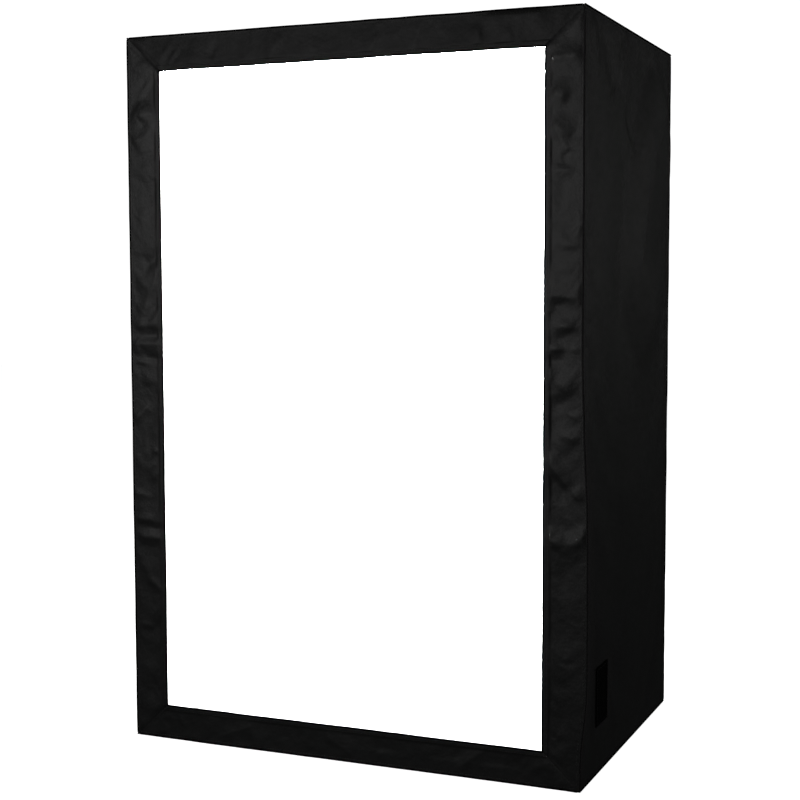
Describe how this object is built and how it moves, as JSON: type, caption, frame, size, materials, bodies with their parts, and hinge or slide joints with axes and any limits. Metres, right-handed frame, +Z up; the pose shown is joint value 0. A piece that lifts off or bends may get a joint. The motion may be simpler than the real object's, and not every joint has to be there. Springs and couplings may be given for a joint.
{
  "type": "light tent",
  "caption": "Tall black cloth light tent on a tube frame, open at the front, with a white sweep, sliding light bars, a cord port, a roof port and a zipped rear wall.",
  "frame": {"origin": "on the floor, in the middle of the tent's base", "axes": "+Z up, +Y from the open front towards the zipped rear wall, +X to the right as seen from the front, on the cord port's side"},
  "size_m": [1.0019, 0.7082, 1.5019],
  "materials": {
    "cover_cloth": "satin",
    "floor_mat_cloth": "matte",
    "port_flap_cloth": "matte",
    "frame_tube": "satin",
    "white_nylon": "matte",
    "snap_button_steel": "satin",
    "zip_tape": "matte",
    "zip_metal": "satin",
    "backdrop_white": "matte",
    "bar_aluminium": "satin",
    "channel_aluminium": "satin",
    "lamp_board_white": "matte",
    "diffuser_white": "satin"
  },
  "bodies": {
    "tent": {"backdrop_bar": "bar_aluminium", "backdrop_hook_left": "white_nylon", "backdrop_hook_right": "white_nylon", "backdrop_sheet": "backdrop_white", "corner_bottom_front_left": "white_nylon", "corner_bottom_front_right": "white_nylon", "corner_bottom_rear_left": "white_nylon", "corner_bottom_rear_right": "white_nylon", "corner_top_front_left": "white_nylon", "corner_top_front_right": "white_nylon", "corner_top_rear_left": "white_nylon", "corner_top_rear_right": "white_nylon", "floor_mat": "floor_mat_cloth", "front_band_bottom": "cover_cloth", "front_band_left": "cover_cloth", "front_band_right": "cover_cloth", "front_band_top": "cover_cloth", "left_wall": "cover_cloth", "post_lower_front_left": "frame_tube", "post_lower_front_right": "frame_tube", "post_lower_rear_left": "frame_tube", "post_lower_rear_right": "frame_tube", "post_upper_front_left": "frame_tube", "post_upper_front_right": "frame_tube", "post_upper_rear_left": "frame_tube", "post_upper_rear_right": "frame_tube", "rail_bottom_front": "frame_tube", "rail_bottom_left": "frame_tube", "rail_bottom_rear": "frame_tube", "rail_bottom_right": "frame_tube", "rail_top_front": "frame_tube", "rail_top_left": "frame_tube", "rail_top_rear": "frame_tube", "rail_top_right": "frame_tube", "rear_wall": "cover_cloth", "rear_zip_chain": "zip_tape", "right_wall": "cover_cloth", "roof": "cover_cloth"},
    "front_light_carriage": {"front_light_clip_left": "white_nylon", "front_light_clip_right": "white_nylon"},
    "front_light_head": {"front_light_cap_left": "white_nylon", "front_light_cap_right": "white_nylon", "front_light_channel": "channel_aluminium", "front_light_lamp_board": "lamp_board_white", "front_light_diffuser": "diffuser_white"},
    "rear_light_carriage": {"rear_light_clip_left": "white_nylon", "rear_light_clip_right": "white_nylon"},
    "rear_light_head": {"rear_light_cap_left": "white_nylon", "rear_light_cap_right": "white_nylon", "rear_light_channel": "channel_aluminium", "rear_light_lamp_board": "lamp_board_white", "rear_light_diffuser": "diffuser_white"},
    "side_port_flap": {"side_port_flap": "port_flap_cloth"},
    "roof_port_flap": {"roof_port_flap": "port_flap_cloth"},
    "zip_slider": {"rear_zip_slider": "zip_metal"},
    "zip_pull": {"rear_zip_pull": "zip_metal"},
    "snap_button_front_left": {"snap_button_front_left": "snap_button_steel"},
    "snap_button_front_right": {"snap_button_front_right": "snap_button_steel"},
    "snap_button_rear_left": {"snap_button_rear_left": "snap_button_steel"},
    "snap_button_rear_right": {"snap_button_rear_right": "snap_button_steel"}
  },
  "joints": [
    {"name": "front_light_slide", "type": "slide", "parent": "tent", "child": "front_light_carriage", "axis": [0, 1, 0], "range_m": [-0.03, 0.15]},
    {"name": "front_light_tilt", "type": "hinge", "parent": "front_light_carriage", "child": "front_light_head", "pos_m": [0, -0.25, 1.4489], "axis": [1, 0, 0], "range_deg": [-45, 45]},
    {"name": "rear_light_slide", "type": "slide", "parent": "tent", "child": "rear_light_carriage", "axis": [0, 1, 0], "range_m": [-0.08, 0.18]},
    {"name": "rear_light_tilt", "type": "hinge", "parent": "rear_light_carriage", "child": "rear_light_head", "pos_m": [0, 0.08, 1.4489], "axis": [1, 0, 0], "range_deg": [-45, 45]},
    {"name": "side_port_flap_hinge", "type": "hinge", "parent": "tent", "child": "side_port_flap", "pos_m": [0.5011, -0.1985, 0.218], "axis": [0, -1, 0], "range_deg": [0, 170]},
    {"name": "roof_port_flap_hinge", "type": "hinge", "parent": "tent", "child": "roof_port_flap", "pos_m": [0, 0.08, 1.5011], "axis": [-1, 0, 0], "range_deg": [0, 170]},
    {"name": "zip_slide", "type": "slide", "parent": "tent", "child": "zip_slider", "axis": [0, 0, 1], "range_m": [-1.22, 0]},
    {"name": "zip_pull_hinge", "type": "hinge", "parent": "zip_slider", "child": "zip_pull", "pos_m": [0, 0.3561, 1.36], "axis": [1, 0, 0], "range_deg": [0, 170]},
    {"name": "snap_button_front_left_press", "type": "slide", "parent": "tent", "child": "snap_button_front_left", "axis": [-1, 0, 0], "range_m": [0, 0.0039], "stiffness_N_per_m": 800, "springref_m": -0.002},
    {"name": "snap_button_front_right_press", "type": "slide", "parent": "tent", "child": "snap_button_front_right", "axis": [1, 0, 0], "range_m": [0, 0.0039], "stiffness_N_per_m": 800, "springref_m": -0.002},
    {"name": "snap_button_rear_left_press", "type": "slide", "parent": "tent", "child": "snap_button_rear_left", "axis": [-1, 0, 0], "range_m": [0, 0.0039], "stiffness_N_per_m": 800, "springref_m": -0.002},
    {"name": "snap_button_rear_right_press", "type": "slide", "parent": "tent", "child": "snap_button_rear_right", "axis": [1, 0, 0], "range_m": [0, 0.0039], "stiffness_N_per_m": 800, "springref_m": -0.002}
  ]
}
